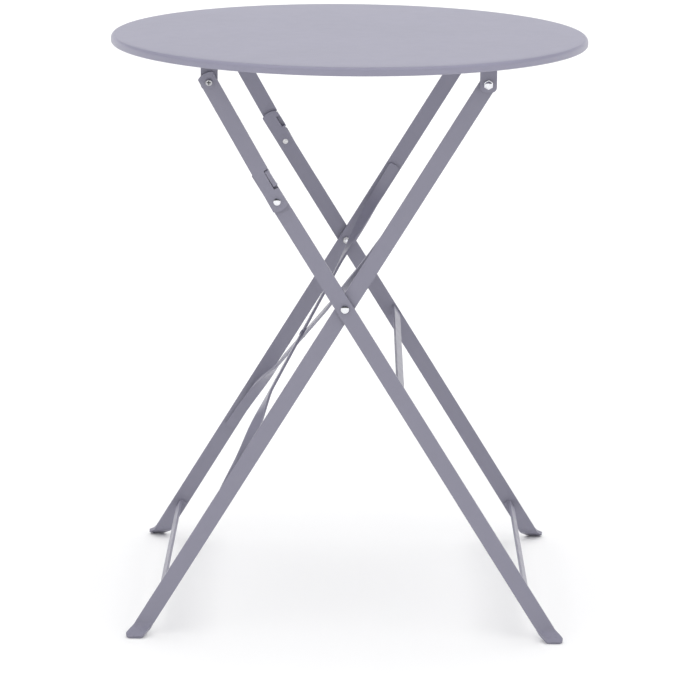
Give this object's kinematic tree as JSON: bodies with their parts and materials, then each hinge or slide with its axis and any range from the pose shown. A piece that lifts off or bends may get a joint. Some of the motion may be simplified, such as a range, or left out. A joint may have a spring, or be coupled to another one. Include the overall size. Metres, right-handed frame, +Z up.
{
  "type": "bistro table",
  "caption": "Round folding bistro table in grey painted steel, with scissor legs of flat bar, outturned feet, a crossed brace and a top that folds flat against the frame",
  "frame": {"origin": "on the floor under the middle of the round top", "axes": "+Z up; the legs spread along X; the four pivot lines run along Y, and -Y is the front"},
  "size_m": [0.5899, 0.59, 0.715],
  "materials": {
    "top_paint": "satin",
    "frame_paint": "satin",
    "plated_steel": "polished"
  },
  "bodies": {
    "inner_frame": {"inner_leg_front": "frame_paint", "inner_leg_rear": "frame_paint", "inner_lower_crossbar": "frame_paint", "rear_top_brace": "frame_paint", "front_top_brace": "frame_paint", "brace_rivet": "frame_paint", "cross_bolts": "plated_steel", "cross_nuts": "plated_steel", "cross_washers": "plated_steel"},
    "outer_frame": {"outer_leg_front": "frame_paint", "outer_leg_rear": "frame_paint", "outer_upper_crossbar": "frame_paint", "outer_lower_crossbar": "frame_paint", "knee_rivet_tails": "plated_steel", "knee_washers": "plated_steel"},
    "top": {"tabletop": "top_paint", "left_hinge_strap": "frame_paint", "right_hinge_strap": "frame_paint", "right_bolts": "plated_steel", "right_cap_nuts": "plated_steel", "right_washers": "plated_steel", "left_bolts": "plated_steel", "left_nuts": "plated_steel", "left_washers": "plated_steel"},
    "arm_front": {"upper_arm_front": "frame_paint", "knee_rivet_front": "plated_steel"},
    "arm_rear": {"upper_arm_rear": "frame_paint", "knee_rivet_rear": "plated_steel"}
  },
  "joints": [
    {"name": "fold", "type": "hinge", "parent": "inner_frame", "child": "outer_frame", "pos_m": [-0.002, 0, 0.4126], "axis": [0, 1, 0], "range_deg": [0, 60]},
    {"name": "top_tilt", "type": "hinge", "parent": "inner_frame", "child": "top", "pos_m": [0.164, 0, 0.685], "axis": [0, -1, 0], "range_deg": [0, 52.4]},
    {"name": "front_arm_swing", "type": "hinge", "parent": "top", "child": "arm_front", "pos_m": [-0.164, 0, 0.685], "axis": [0, -1, 0], "range_deg": [0, 57.2]},
    {"name": "rear_arm_swing", "type": "hinge", "parent": "top", "child": "arm_rear", "pos_m": [-0.164, 0, 0.685], "axis": [0, -1, 0], "range_deg": [0, 57.2]}
  ],
  "couplings": [
    {"joint": "top_tilt", "follows": "fold", "ratio": 0.87333},
    {"joint": "front_arm_swing", "follows": "fold", "ratio": 0.95333},
    {"joint": "rear_arm_swing", "follows": "fold", "ratio": 0.95333}
  ]
}
